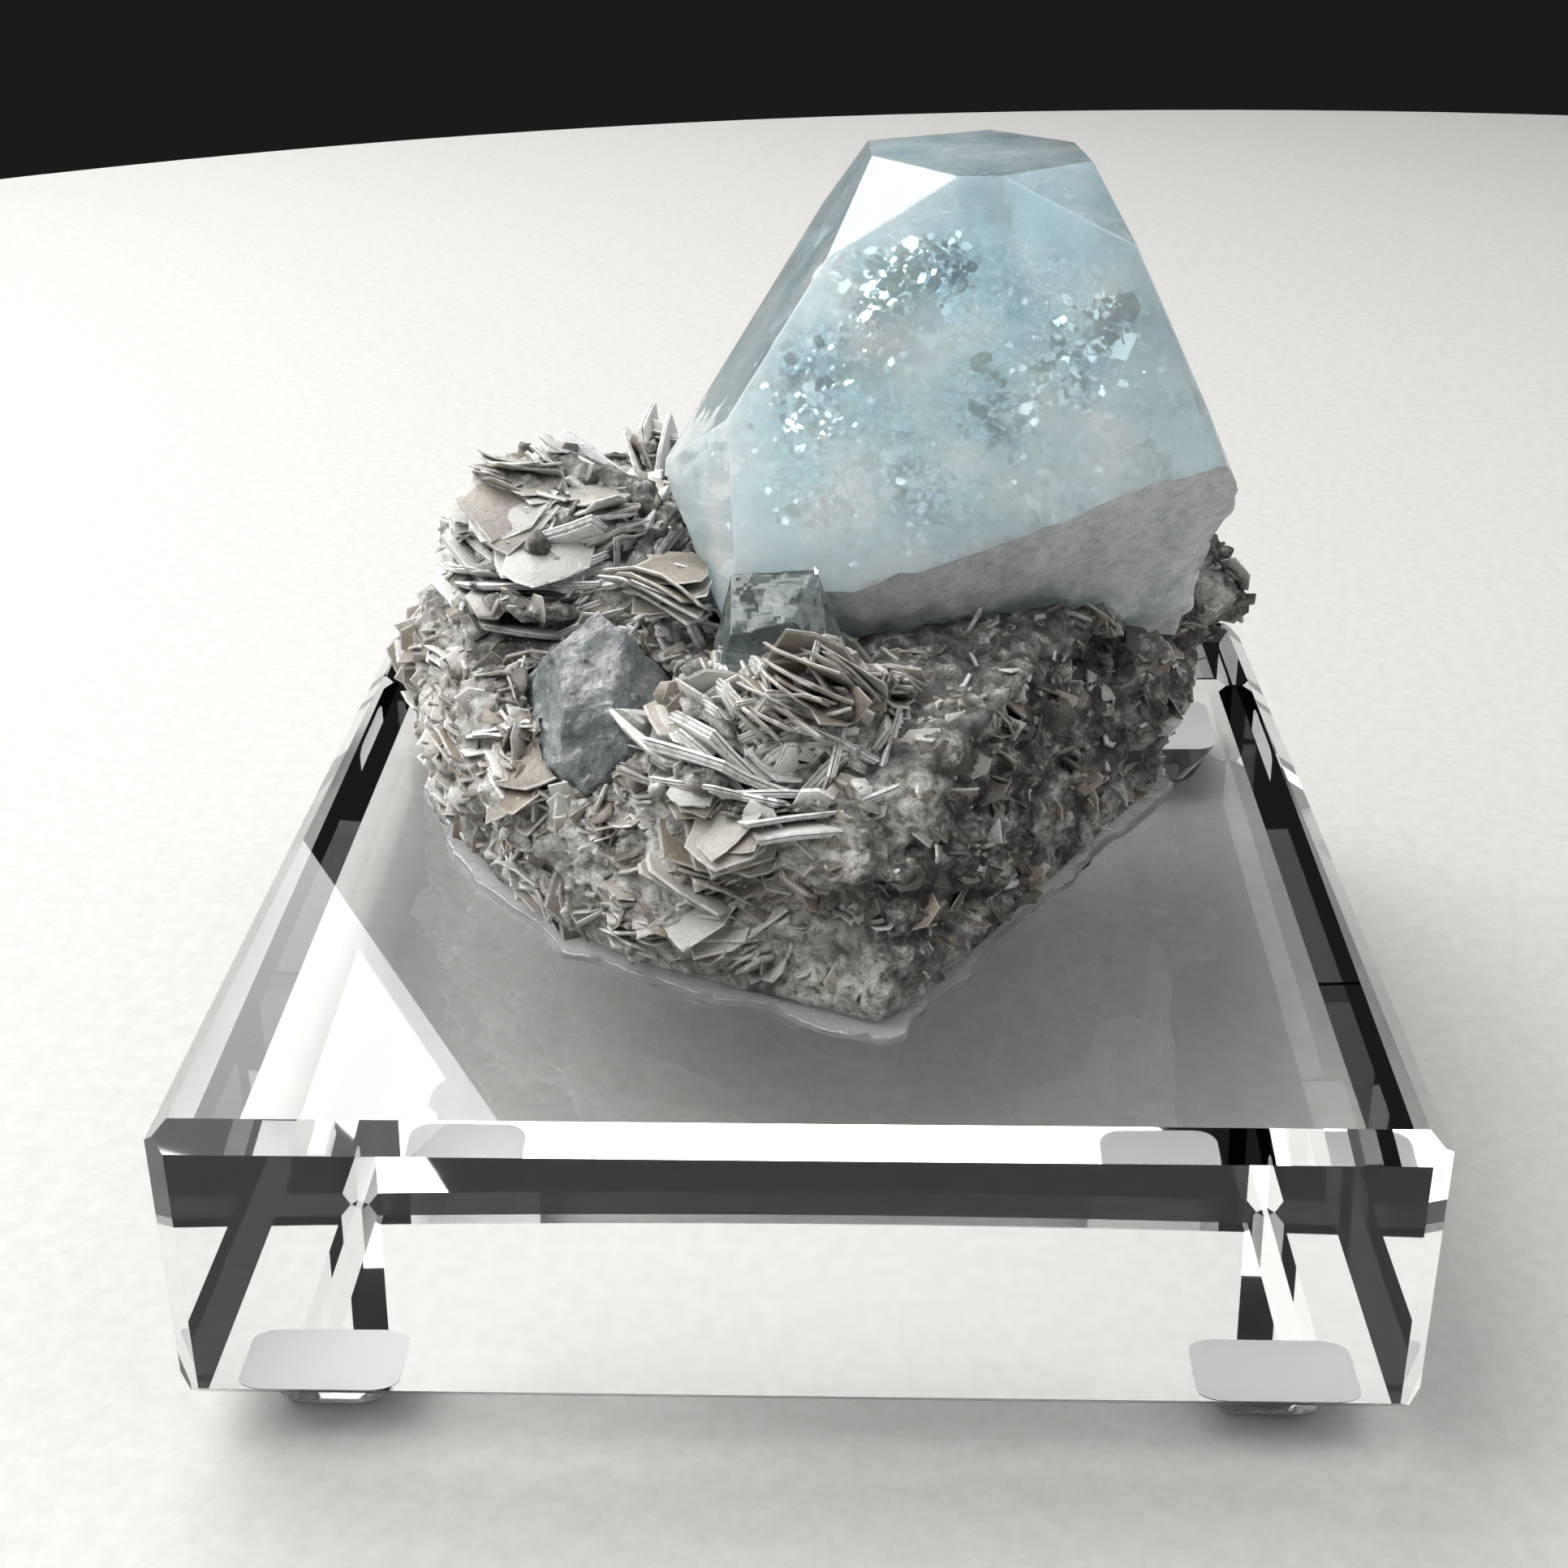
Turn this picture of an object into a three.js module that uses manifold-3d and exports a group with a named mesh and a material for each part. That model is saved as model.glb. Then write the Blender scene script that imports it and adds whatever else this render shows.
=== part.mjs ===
// An aquamarine crystal on its mica matrix, glued to a clear acrylic block that stands on four clear feet.
// Millimetres, +Z up, X to the right and Y to the back. The origin is on the floor, under the block's centre.
import * as THREE from 'three';
import { ConvexGeometry } from 'three/addons/geometries/ConvexGeometry.js';
import { ImprovedNoise } from 'three/addons/math/ImprovedNoise.js';
import { mergeVertices } from 'three/addons/utils/BufferGeometryUtils.js';
import Module from 'manifold-3d';

// Gap kept between pieces that touch, and how near two points are to count as one
const GAP = 0.3;
const NEAR = 1e-4;

// Acrylic block, all edges chamfered
const BLOCK_WIDTH = 95.5;
const BLOCK_DEPTH = 103.5;
const BLOCK_THICKNESS = 25.4;
const BLOCK_CHAMFER = 1.9;

// Square bumper feet, wider where they stick to the block
const FOOT_HEIGHT = 5;
const FOOT_WIDTH_TOP = 12.7;
const FOOT_WIDTH_BOTTOM = 8.6;
const FOOT_CORNER_RADIUS = 2.2;
const FOOT_INSET = 10.3;
// The sides of a foot flare from tread to top: shares of the height, with the share of the flare there
const FOOT_FLARE = [[0, 0], [0.12, 0.38], [0.36, 0.76], [1, 1]];

// Heights of the layers above the floor
const BLOCK_TOP = FOOT_HEIGHT + BLOCK_THICKNESS;
const ADHESIVE_THICKNESS = 0.7;
const MATRIX_BASE = BLOCK_TOP + ADHESIVE_THICKNESS + GAP;

// The glue reaches past the foot of the matrix, more at its lumps and less between them
const ADHESIVE_OVERLAP = 1.1;
const ADHESIVE_LUMP = 0.6;
const ADHESIVE_WAVES = [1.7, 0.45];
const ADHESIVE_POINTS = 56;

// Large crystal. Each face has an azimuth (degrees from +X), a dip (0 faces up, 90 is upright, 180 faces
// down) and its distance from the crystal's centre.
const AQUAMARINE_CENTRE = [13, 10, 62];
const AQUAMARINE_FACES = [
  { name: 'top', azimuth: 0, dip: 0, reach: 27 },
  { name: 'front', azimuth: 270, dip: 65, reach: 22 },
  { name: 'front_left', azimuth: 216.4, dip: 30.2, reach: 27 },
  { name: 'front_right', azimuth: 309.8, dip: 30.1, reach: 28.8 },
  { name: 'left', azimuth: 182.2, dip: 55, reach: 21.6 },
  { name: 'right', azimuth: 4.3, dip: 65.9, reach: 20.6 },
  { name: 'back_right', azimuth: 46.1, dip: 60, reach: 22.2 },
  { name: 'back_left', azimuth: 115.9, dip: 63, reach: 19.6 },
  { name: 'side_left', azimuth: 199.4, dip: 85, reach: 25.4 },
  { name: 'side_right', azimuth: 349.6, dip: 66.1, reach: 24.9 },
  { name: 'side_back_left', azimuth: 127, dip: 90, reach: 12.3 },
  { name: 'side_back_right', azimuth: 50, dip: 84, reach: 26.5 },
  { name: 'under_right', azimuth: 352.3, dip: 103.1, reach: 24 },
  { name: 'under_front', azimuth: 290.8, dip: 124.3, reach: 19.5 },
  { name: 'under_front_left', azimuth: 267.1, dip: 128.9, reach: 22.8 },
  { name: 'under_left', azimuth: 185.3, dip: 124.3, reach: 21.7 },
  { name: 'under_back', azimuth: 90, dip: 128, reach: 22 },
  { name: 'bottom', azimuth: 0, dip: 180, reach: 15 },
];

// Grey-blue beryl at the front left, its long axis leaning to the front
const FRONT_BERYL_CENTRE = [-17.2, -15.5, 48.5];
const FRONT_BERYL_FACES = [
  { name: 'upper', azimuth: 265, dip: 38, reach: 5.6 },
  { name: 'front', azimuth: 268, dip: 74, reach: 6.4 },
  { name: 'left', azimuth: 200, dip: 76, reach: 4.2 },
  { name: 'right', azimuth: 335, dip: 66, reach: 5.2 },
  { name: 'top_left', azimuth: 165, dip: 44, reach: 5.6 },
  { name: 'top_right', azimuth: 30, dip: 50, reach: 6 },
  { name: 'under_left', azimuth: 225, dip: 118, reach: 7 },
  { name: 'under_right', azimuth: 310, dip: 118, reach: 7.4 },
  { name: 'back', azimuth: 90, dip: 100, reach: 6 },
  { name: 'bottom', azimuth: 0, dip: 180, reach: 8 },
];

// Small grey beryl wedge at the foot of the large crystal
const SMALL_BERYL_CENTRE = [-2, -19.5, 55.5];
const SMALL_BERYL_FACES = [
  { name: 'top', azimuth: 262, dip: 30, reach: 3.1 },
  { name: 'front', azimuth: 275, dip: 74, reach: 2.6 },
  { name: 'front_right', azimuth: 315, dip: 52, reach: 3.5 },
  { name: 'left', azimuth: 190, dip: 76, reach: 4.2 },
  { name: 'right', azimuth: 350, dip: 70, reach: 4.4 },
  { name: 'back', azimuth: 90, dip: 90, reach: 3 },
  { name: 'bottom', azimuth: 0, dip: 180, reach: 5 },
];

// Matrix. Outermost points of the lump: round its foot, round its sides, and over its top.
const MATRIX_FOOT = [
  [6.5, -37.8], [-4.9, -32.6], [-12.9, -28.7], [-19.4, -23.4], [-26.9, -14.1], [-33, -1], [-35.5, 9],
  [-34.5, 20], [-27, 32], [-8, 38], [16, 37.5], [30, 30], [33, 17], [32.5, 5], [18.5, -17.5], [9.3, -34.5],
];
const MATRIX_SIDE = [
  [8.5, -36, 42], [-8, -31.5, 41], [-22, -22, 40], [-31, -10, 42], [-36, 3, 44], [-37, 14, 45],
  [-29, 32, 50], [0, 40, 45], [24, 38, 48], [38, 26, 52], [36.5, 12, 45], [34, 5, 39],
];
const MATRIX_TOP = [
  [10, -30, 50.5], [-6, -28.5, 46.5], [-20, -19, 46], [-29, -6, 49], [-33, 10, 51.5], [-24, 26, 55.5],
  [-10, 31, 57], [16, 36, 55], [36, 33, 57], [37, 14, 54], [28, -1, 51],
];
const MATRIX_CENTRE = new THREE.Vector3(2, 4, 42);
const MATRIX_EDGE_LENGTH = 6.6;
const MATRIX_BUMPS = [
  { wavelength: 17, height: 1.5 },
  { wavelength: 6.5, height: 1.1 },
];
// The foot of the matrix is flat, and its sides grow rough between these heights above the foot
const MATRIX_ROUGH_FROM = 0.2;
const MATRIX_ROUGH_FULL = 3;
// Rough knobs that stand out of the lump: first the lip at the right, the crest at the back right and the
// left shoulder
const MATRIX_KNOBS = [
  { centre: [36.6, 12.5, 49], radii: [4, 6, 6.5], seed: 2 },
  { centre: [35.5, 31, 55], radii: [5.4, 6, 5.6], seed: 6 },
  { centre: [-33, 7, 46], radii: [4.4, 7, 5], seed: 7 },
  { centre: [29, -2, 44], radii: [4.5, 6, 6], seed: 11 },
  { centre: [4, -33, 43], radii: [6, 4.5, 6], seed: 13 },
  { centre: [4, 37, 46], radii: [8, 4.5, 6], seed: 15 },
];
const KNOB_ROUGHNESS = 0.45;
// Hollow in the matrix under the front of the large crystal
const HOLLOW = { centre: [22.5, -5.5, 49], radii: [9, 5.5, 3.6], seed: 4 };

// Mica plates, in rosettes that open upwards like a rose. Rings run from the upright plates in the middle
// to the lower ones outside, whose tops lean outwards.
const PLATE_SIDES = 5;
const PLATE_REACH = { least: 0.7, spread: 0.45 };
const PLATE_SIZE = { least: 0.85, spread: 0.3 };
const ROSETTES = [
  { centre: [-20.5, 7, 54.5], radius: 12, rings: [2, 5, 8, 10], plate: 7.2, thickness: 1.3, seed: 3 },
  { centre: [-1, -23, 49.5], radius: 10.5, rings: [2, 4, 7, 9], plate: 6.6, thickness: 1.2, seed: 8 },
  { centre: [-8, -7, 52.5], radius: 6, rings: [1, 4], plate: 4.8, thickness: 1.2, seed: 14 },
  { centre: [-14, 25, 55], radius: 8, rings: [1, 5], plate: 5, thickness: 1.3, seed: 21 },
  { centre: [11, 33, 56], radius: 7, rings: [1, 4], plate: 4.6, thickness: 1.2, seed: 34 },
];
const ROSETTE_SPREAD = { inside: 0.12, outward: 0.5 };
const ROSETTE_LEAN = { inside: 6, outward: 54, spread: 34 };
const ROSETTE_CROWN = 1;
const ROSETTE_DOME = 4;
const ROSETTE_TURN = 1.1;
const ROSETTE_STAGGER = { plate: 0.6, ring: 0.5 };

// Stacks of mica plates that stand out of the sides like ledges
const LEDGES = [
  { azimuth: 252, height: 39, count: 3, plate: 8, thickness: 1.5, seed: 5 },
  { azimuth: 222, height: 40, count: 3, plate: 7, thickness: 1.5, seed: 9 },
  { azimuth: 165, height: 41, count: 3, plate: 7, thickness: 1.5, seed: 12 },
  { azimuth: 105, height: 42, count: 3, plate: 7, thickness: 1.5, seed: 17 },
  { azimuth: 55, height: 43, count: 2, plate: 7, thickness: 1.5, seed: 19 },
  { azimuth: 318, height: 40, count: 2, plate: 6, thickness: 1.5, seed: 23 },
];
const LEDGE_STEP = 3.2;
const LEDGE_SINK = 0.72;
const LEDGE_LEAN = { least: 58, spread: 14 };
const LEDGE_TURN = 0.3;
const LEDGE_TILT = 0.25;

const COLOURS = {
  aquamarine: { color: 0xb9d0d6, roughness: 0.12, metalness: 0 },
  beryl: { color: 0x7f8a8e, roughness: 0.3, metalness: 0 },
  mica: { color: 0x8d877d, roughness: 0.55, metalness: 0.1 },
  adhesive: { color: 0xe6e8e6, roughness: 0.1, metalness: 0 },
  acrylic: { color: 0xeef0ef, roughness: 0.03, metalness: 0 },
  bumper: { color: 0xe4e7e8, roughness: 0.25, metalness: 0 },
};

const wasm = await Module();
wasm.setup();

function weld(geometry) {
  const bare = geometry.index ? geometry.toNonIndexed() : geometry.clone();
  bare.deleteAttribute('normal');
  bare.deleteAttribute('uv');
  return mergeVertices(bare, NEAR);
}

function toSolid(geometry) {
  const welded = weld(geometry);
  const mesh = new wasm.Mesh({
    numProp: 3,
    vertProperties: new Float32Array(welded.attributes.position.array),
    triVerts: new Uint32Array(welded.index.array),
  });
  return new wasm.Manifold(mesh);
}

function toGeometry(solid) {
  const mesh = solid.getMesh();
  const geometry = new THREE.BufferGeometry();
  geometry.setAttribute('position', new THREE.BufferAttribute(new Float32Array(mesh.vertProperties), 3));
  geometry.setIndex(new THREE.BufferAttribute(new Uint32Array(mesh.triVerts), 1));
  geometry.computeVertexNormals();
  return geometry;
}

function largestPiece(solid) {
  const pieces = solid.decompose();
  pieces.sort((a, b) => b.volume() - a.volume());
  return pieces[0];
}

function seededRandom(seed) {
  let state = seed * 7919 + 17;
  return () => {
    state = (state * 1103515245 + 12345) % 2147483648;
    return state / 2147483648;
  };
}

// A convex crystal bounded by its face planes: its corners are where three faces meet inside all the others
function facedCrystal(centre, faces, grow = 0) {
  const planes = faces.map(({ azimuth, dip, reach }) => {
    const turn = THREE.MathUtils.degToRad(azimuth);
    const lean = THREE.MathUtils.degToRad(dip);
    const normal = new THREE.Vector3(
      Math.cos(turn) * Math.sin(lean), Math.sin(turn) * Math.sin(lean), Math.cos(lean));
    return { normal, reach: reach + grow };
  });
  const corners = [];
  for (let i = 0; i < planes.length; i++) {
    for (let j = i + 1; j < planes.length; j++) {
      for (let k = j + 1; k < planes.length; k++) {
        const corner = meetingPoint(planes[i], planes[j], planes[k]);
        if (corner && planes.every(({ normal, reach }) => normal.dot(corner) <= reach + NEAR)) {
          corners.push(corner.add(new THREE.Vector3(...centre)));
        }
      }
    }
  }
  return new ConvexGeometry(corners);
}

function meetingPoint(a, b, c) {
  const bc = new THREE.Vector3().crossVectors(b.normal, c.normal);
  const ca = new THREE.Vector3().crossVectors(c.normal, a.normal);
  const ab = new THREE.Vector3().crossVectors(a.normal, b.normal);
  const volume = a.normal.dot(bc);
  if (Math.abs(volume) < NEAR) return null;
  return bc.multiplyScalar(a.reach)
    .add(ca.multiplyScalar(b.reach))
    .add(ab.multiplyScalar(c.reach))
    .divideScalar(volume);
}

// Block with every edge chamfered; the three chamfers of a corner meet in one point
function chamferedBlock() {
  const half = new THREE.Vector3(BLOCK_WIDTH / 2, BLOCK_DEPTH / 2, BLOCK_THICKNESS / 2);
  const c = BLOCK_CHAMFER;
  const cuts = [[0, c, c], [c, 0, c], [c, c, 0], [c / 2, c / 2, c / 2]];
  const points = [];
  for (const sx of [-1, 1]) {
    for (const sy of [-1, 1]) {
      for (const sz of [-1, 1]) {
        for (const [cx, cy, cz] of cuts) {
          points.push(new THREE.Vector3(sx * (half.x - cx), sy * (half.y - cy), sz * (half.z - cz)));
        }
      }
    }
  }
  return new ConvexGeometry(points);
}

// Bumper foot: rounded squares stacked from its flat underside to its sticky top
function bumperFoot() {
  const cornerSteps = [0, 30, 60, 90];
  const points = [];
  for (const [rise, flare] of FOOT_FLARE) {
    const width = FOOT_WIDTH_BOTTOM + flare * (FOOT_WIDTH_TOP - FOOT_WIDTH_BOTTOM);
    const reach = width / 2 - FOOT_CORNER_RADIUS;
    for (const quarter of [0, 90, 180, 270]) {
      for (const step of cornerSteps) {
        const turn = THREE.MathUtils.degToRad(quarter + step);
        const middle = THREE.MathUtils.degToRad(quarter + 45);
        points.push(new THREE.Vector3(
          Math.sign(Math.cos(middle)) * reach + FOOT_CORNER_RADIUS * Math.cos(turn),
          Math.sign(Math.sin(middle)) * reach + FOOT_CORNER_RADIUS * Math.sin(turn),
          rise * FOOT_HEIGHT));
      }
    }
  }
  return new ConvexGeometry(points);
}

// Clear glue: a thin pad a little wider than the foot of the matrix, with a lumpy edge
function adhesivePad() {
  const outline = new THREE.CatmullRomCurve3(
    MATRIX_FOOT.map(([x, y]) => new THREE.Vector3(x, y, 0)), true, 'centripetal');
  const points = outline.getPoints(ADHESIVE_POINTS).slice(0, -1);
  const shape = new THREE.Shape(points.map((point, index) => {
    const outward = new THREE.Vector2(point.x - MATRIX_CENTRE.x, point.y - MATRIX_CENTRE.y).normalize();
    const lump = Math.sin(index * ADHESIVE_WAVES[0]) * Math.sin(index * ADHESIVE_WAVES[1]);
    const swell = ADHESIVE_OVERLAP + ADHESIVE_LUMP * lump;
    return new THREE.Vector2(point.x + swell * outward.x, point.y + swell * outward.y);
  }));
  return new THREE.ExtrudeGeometry(shape, { depth: ADHESIVE_THICKNESS, bevelEnabled: false, steps: 1 });
}

// Halves every edge longer than the given length until none is left, both triangles of an edge together
function splitLongEdges(geometry, longest) {
  const corners = [];
  const position = geometry.attributes.position;
  for (let i = 0; i < position.count; i++) {
    corners.push(new THREE.Vector3().fromBufferAttribute(position, i));
  }
  let triangles = [];
  for (let i = 0; i < geometry.index.count; i += 3) {
    triangles.push([0, 1, 2].map((corner) => geometry.index.getX(i + corner)));
  }
  let middles = new Map();
  const middle = (a, b) => {
    const key = a < b ? `${a}_${b}` : `${b}_${a}`;
    if (!middles.has(key)) {
      const isLong = corners[a].distanceTo(corners[b]) > longest;
      middles.set(key, isLong ? corners.push(corners[a].clone().lerp(corners[b], 0.5)) - 1 : null);
    }
    return middles.get(key);
  };
  do {
    middles = new Map();
    triangles = triangles.flatMap(
      ([a, b, c]) => splitTriangle(a, b, c, middle(a, b), middle(b, c), middle(c, a)));
  } while ([...middles.values()].some((point) => point !== null));
  const split = new THREE.BufferGeometry().setFromPoints(corners);
  split.setIndex(triangles.flat());
  return split;
}

// The triangles that take a triangle's place when some of its edges are halved
function splitTriangle(a, b, c, ab, bc, ca) {
  if (ab === null && bc === null && ca === null) return [[a, b, c]];
  if (ab !== null && bc !== null && ca !== null) {
    return [[a, ab, ca], [ab, b, bc], [ca, bc, c], [ab, bc, ca]];
  }
  if (ab === null || (bc !== null && ca === null)) {
    if (ab !== null) return [[ab, b, bc], [a, ab, c], [ab, bc, c]];
    return splitTriangle(b, c, a, bc, ca, ab);
  }
  if (ca !== null) return splitTriangle(c, a, b, ca, ab, bc);
  return [[a, ab, c], [ab, b, c]];
}

// Lump of the matrix: the hull of its outermost points, roughened away from its flat foot
function matrixLump() {
  const points = [
    ...MATRIX_FOOT.map(([x, y]) => new THREE.Vector3(x, y, MATRIX_BASE)),
    ...MATRIX_SIDE.map((point) => new THREE.Vector3(...point)),
    ...MATRIX_TOP.map((point) => new THREE.Vector3(...point)),
  ];
  const lump = splitLongEdges(weld(new ConvexGeometry(points)), MATRIX_EDGE_LENGTH);
  lump.computeVertexNormals();
  const noise = new ImprovedNoise();
  const position = lump.attributes.position;
  const normal = lump.attributes.normal;
  for (let i = 0; i < position.count; i++) {
    const at = new THREE.Vector3().fromBufferAttribute(position, i);
    const out = new THREE.Vector3().fromBufferAttribute(normal, i);
    const rough = THREE.MathUtils.smoothstep(
      at.z - MATRIX_BASE, MATRIX_ROUGH_FROM, MATRIX_ROUGH_FULL);
    let lift = 0;
    for (const { wavelength, height } of MATRIX_BUMPS) {
      lift += height * noise.noise(at.x / wavelength, at.y / wavelength, at.z / wavelength);
    }
    at.addScaledVector(out, lift * rough);
    position.setXYZ(i, at.x, at.y, at.z);
  }
  return lump;
}

// One mica plate: a many-sided disc whose face looks along its normal
function micaPlate(centre, normal, radius, thickness, random) {
  const turn = 2 * Math.PI * random();
  const outline = new THREE.Shape();
  for (let i = 0; i < PLATE_SIDES; i++) {
    const angle = turn + (2 * Math.PI * i) / PLATE_SIDES;
    const reach = radius * (PLATE_REACH.least + PLATE_REACH.spread * random());
    const point = new THREE.Vector2(reach * Math.cos(angle), reach * Math.sin(angle));
    if (i === 0) outline.moveTo(point.x, point.y);
    else outline.lineTo(point.x, point.y);
  }
  const plate = new THREE.ExtrudeGeometry(outline, { depth: thickness, bevelEnabled: false, steps: 1 });
  plate.translate(0, 0, -thickness / 2);
  plate.applyQuaternion(new THREE.Quaternion().setFromUnitVectors(new THREE.Vector3(0, 0, 1), normal));
  plate.translate(centre.x, centre.y, centre.z);
  return plate;
}

function rosettePlates({ centre, radius, rings, plate, thickness, seed }) {
  const random = seededRandom(seed);
  const plates = [];
  rings.forEach((count, ring) => {
    const outness = ring / (rings.length - 1);
    const away = radius * (ROSETTE_SPREAD.inside + ROSETTE_SPREAD.outward * outness);
    const level = centre[2] + ROSETTE_CROWN - ROSETTE_DOME * outness ** 2;
    for (let i = 0; i < count; i++) {
      const step = i + ROSETTE_STAGGER.plate * random() + ROSETTE_STAGGER.ring * ring;
      const angle = (2 * Math.PI * step) / count;
      const lean = THREE.MathUtils.degToRad(
        ROSETTE_LEAN.inside + ROSETTE_LEAN.outward * outness + ROSETTE_LEAN.spread * (random() - 0.5));
      const facing = angle + ROSETTE_TURN * (random() - 0.5);
      const normal = new THREE.Vector3(
        Math.cos(facing) * Math.cos(lean), Math.sin(facing) * Math.cos(lean), -Math.sin(lean));
      const at = new THREE.Vector3(
        centre[0] + away * Math.cos(angle), centre[1] + away * Math.sin(angle), level);
      const size = plate * (PLATE_SIZE.least + PLATE_SIZE.spread * random());
      plates.push(micaPlate(at, normal, size, thickness, random));
    }
  });
  return plates;
}

function ledgePlates({ azimuth, height, count, plate, thickness, seed }, surface) {
  const random = seededRandom(seed);
  const turn = THREE.MathUtils.degToRad(azimuth);
  const plates = [];
  for (let i = 0; i < count; i++) {
    const side = turn + LEDGE_TURN * (random() - 0.5);
    const level = height + LEDGE_STEP * (i - (count - 1) / 2);
    const out = new THREE.Vector3(Math.cos(side), Math.sin(side), 0);
    const at = surface(out, level).addScaledVector(out, -LEDGE_SINK * plate);
    const lean = THREE.MathUtils.degToRad(LEDGE_LEAN.least + LEDGE_LEAN.spread * random());
    const tilt = LEDGE_TILT * (random() - 0.5);
    const normal = new THREE.Vector3(
      out.x * Math.cos(lean) + tilt, out.y * Math.cos(lean), Math.sin(lean)).normalize();
    plates.push(micaPlate(at, normal, plate, thickness, random));
  }
  return plates;
}

// Where a level ray from the middle of the matrix leaves the lump
function surfaceFinder(lump) {
  const mesh = new THREE.Mesh(lump, new THREE.MeshBasicMaterial({ side: THREE.DoubleSide }));
  const caster = new THREE.Raycaster();
  return (direction, level) => {
    caster.set(new THREE.Vector3(MATRIX_CENTRE.x, MATRIX_CENTRE.y, level), direction);
    return caster.intersectObject(mesh)[0].point;
  };
}

// Rough knob: a ball of flat facets whose corners stand at uneven distances
function roughKnob({ centre, radii, seed }) {
  const random = seededRandom(seed);
  const form = weld(new THREE.IcosahedronGeometry(1, 1));
  const position = form.attributes.position;
  for (let i = 0; i < position.count; i++) {
    const reach = 1 - KNOB_ROUGHNESS * random();
    position.setXYZ(i, position.getX(i) * reach, position.getY(i) * reach, position.getZ(i) * reach);
  }
  form.scale(...radii);
  form.translate(...centre);
  return form;
}

function micaMatrix() {
  const lump = matrixLump();
  const surface = surfaceFinder(lump);
  const plates = [
    ...ROSETTES.flatMap((rosette) => rosettePlates(rosette)),
    ...LEDGES.flatMap((ledge) => ledgePlates(ledge, surface)),
  ];
  const knobs = MATRIX_KNOBS.map((knob) => roughKnob(knob));
  let matrix = toSolid(lump);
  for (const growth of [...knobs, ...plates]) matrix = matrix.add(toSolid(growth));
  const cuts = [
    facedCrystal(AQUAMARINE_CENTRE, AQUAMARINE_FACES, GAP),
    facedCrystal(FRONT_BERYL_CENTRE, FRONT_BERYL_FACES, GAP),
    facedCrystal(SMALL_BERYL_CENTRE, SMALL_BERYL_FACES, GAP),
    roughKnob(HOLLOW),
  ];
  for (const cut of cuts) matrix = matrix.subtract(toSolid(cut));
  return toGeometry(largestPiece(matrix));
}

// Small beryl, fitted against the large crystal behind it
function smallBeryl() {
  const wedge = toSolid(facedCrystal(SMALL_BERYL_CENTRE, SMALL_BERYL_FACES));
  const neighbour = toSolid(facedCrystal(AQUAMARINE_CENTRE, AQUAMARINE_FACES, GAP));
  return toGeometry(largestPiece(wedge.subtract(neighbour)));
}

const specimen = new THREE.Group();

function addPiece(name, geometry, finish, place = [0, 0, 0]) {
  const mesh = new THREE.Mesh(geometry, new THREE.MeshStandardMaterial(finish));
  mesh.name = name;
  mesh.position.set(...place);
  specimen.add(mesh);
}

addPiece('aquamarine_crystal', facedCrystal(AQUAMARINE_CENTRE, AQUAMARINE_FACES), COLOURS.aquamarine);
addPiece('mica_matrix', micaMatrix(), COLOURS.mica);
addPiece('beryl_crystal_front', facedCrystal(FRONT_BERYL_CENTRE, FRONT_BERYL_FACES), COLOURS.beryl);
addPiece('beryl_crystal_small', smallBeryl(), COLOURS.beryl);
addPiece('adhesive_pad', adhesivePad(), COLOURS.adhesive, [0, 0, BLOCK_TOP]);
addPiece('base_block', chamferedBlock(), COLOURS.acrylic, [0, 0, FOOT_HEIGHT + BLOCK_THICKNESS / 2]);

for (const [side, x] of [['left', -1], ['right', 1]]) {
  for (const [end, y] of [['front', -1], ['back', 1]]) {
    const place = [x * (BLOCK_WIDTH / 2 - FOOT_INSET), y * (BLOCK_DEPTH / 2 - FOOT_INSET), 0];
    addPiece(`foot_${end}_${side}`, bumperFoot(), COLOURS.bumper, place);
  }
}

export default specimen;
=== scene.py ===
import math
import random

import bmesh
import bpy
import numpy as np
from mathutils import Matrix, Vector, noise


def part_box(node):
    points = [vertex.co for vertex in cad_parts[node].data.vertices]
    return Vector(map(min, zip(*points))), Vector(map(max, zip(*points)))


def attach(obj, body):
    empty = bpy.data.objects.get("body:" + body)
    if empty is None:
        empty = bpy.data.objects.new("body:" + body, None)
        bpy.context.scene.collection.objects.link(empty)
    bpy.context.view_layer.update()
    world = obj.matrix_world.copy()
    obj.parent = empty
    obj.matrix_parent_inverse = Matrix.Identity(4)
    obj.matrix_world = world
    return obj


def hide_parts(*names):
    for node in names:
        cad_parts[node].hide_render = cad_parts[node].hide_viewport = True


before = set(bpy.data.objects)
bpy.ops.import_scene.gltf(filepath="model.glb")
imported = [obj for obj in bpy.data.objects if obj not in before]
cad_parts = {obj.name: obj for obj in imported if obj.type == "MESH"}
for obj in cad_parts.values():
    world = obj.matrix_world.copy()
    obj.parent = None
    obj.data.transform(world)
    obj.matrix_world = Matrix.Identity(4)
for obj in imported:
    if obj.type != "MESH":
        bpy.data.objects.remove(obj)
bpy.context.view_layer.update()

# Bumper feet: four clear soft bumpers with tapering sides and a rounded tread, moulded in one pour.
# Each is stuck by its square top under a corner of the block, and the adhesive there looks frosted.
MM = 0.001
FOOT_NODES = ("foot_front_left", "foot_front_right", "foot_back_left", "foot_back_right")
FOOT_TREAD = 8.6 / 12.7
FOOT_CORNER = 2.2 * MM
FOOT_ROUND = 1.1 * MM
PATCH_BITE = 0.04 * MM
LEVEL = 0.999
TOUCH = 1e-6


def plain_finish(name, **sockets):
    material = bpy.data.materials.new(name)
    material.use_nodes = True
    shader = material.node_tree.nodes["Principled BSDF"]
    for socket, value in sockets.items():
        shader.inputs[socket.replace("_", " ")].default_value = value
    return material


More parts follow.
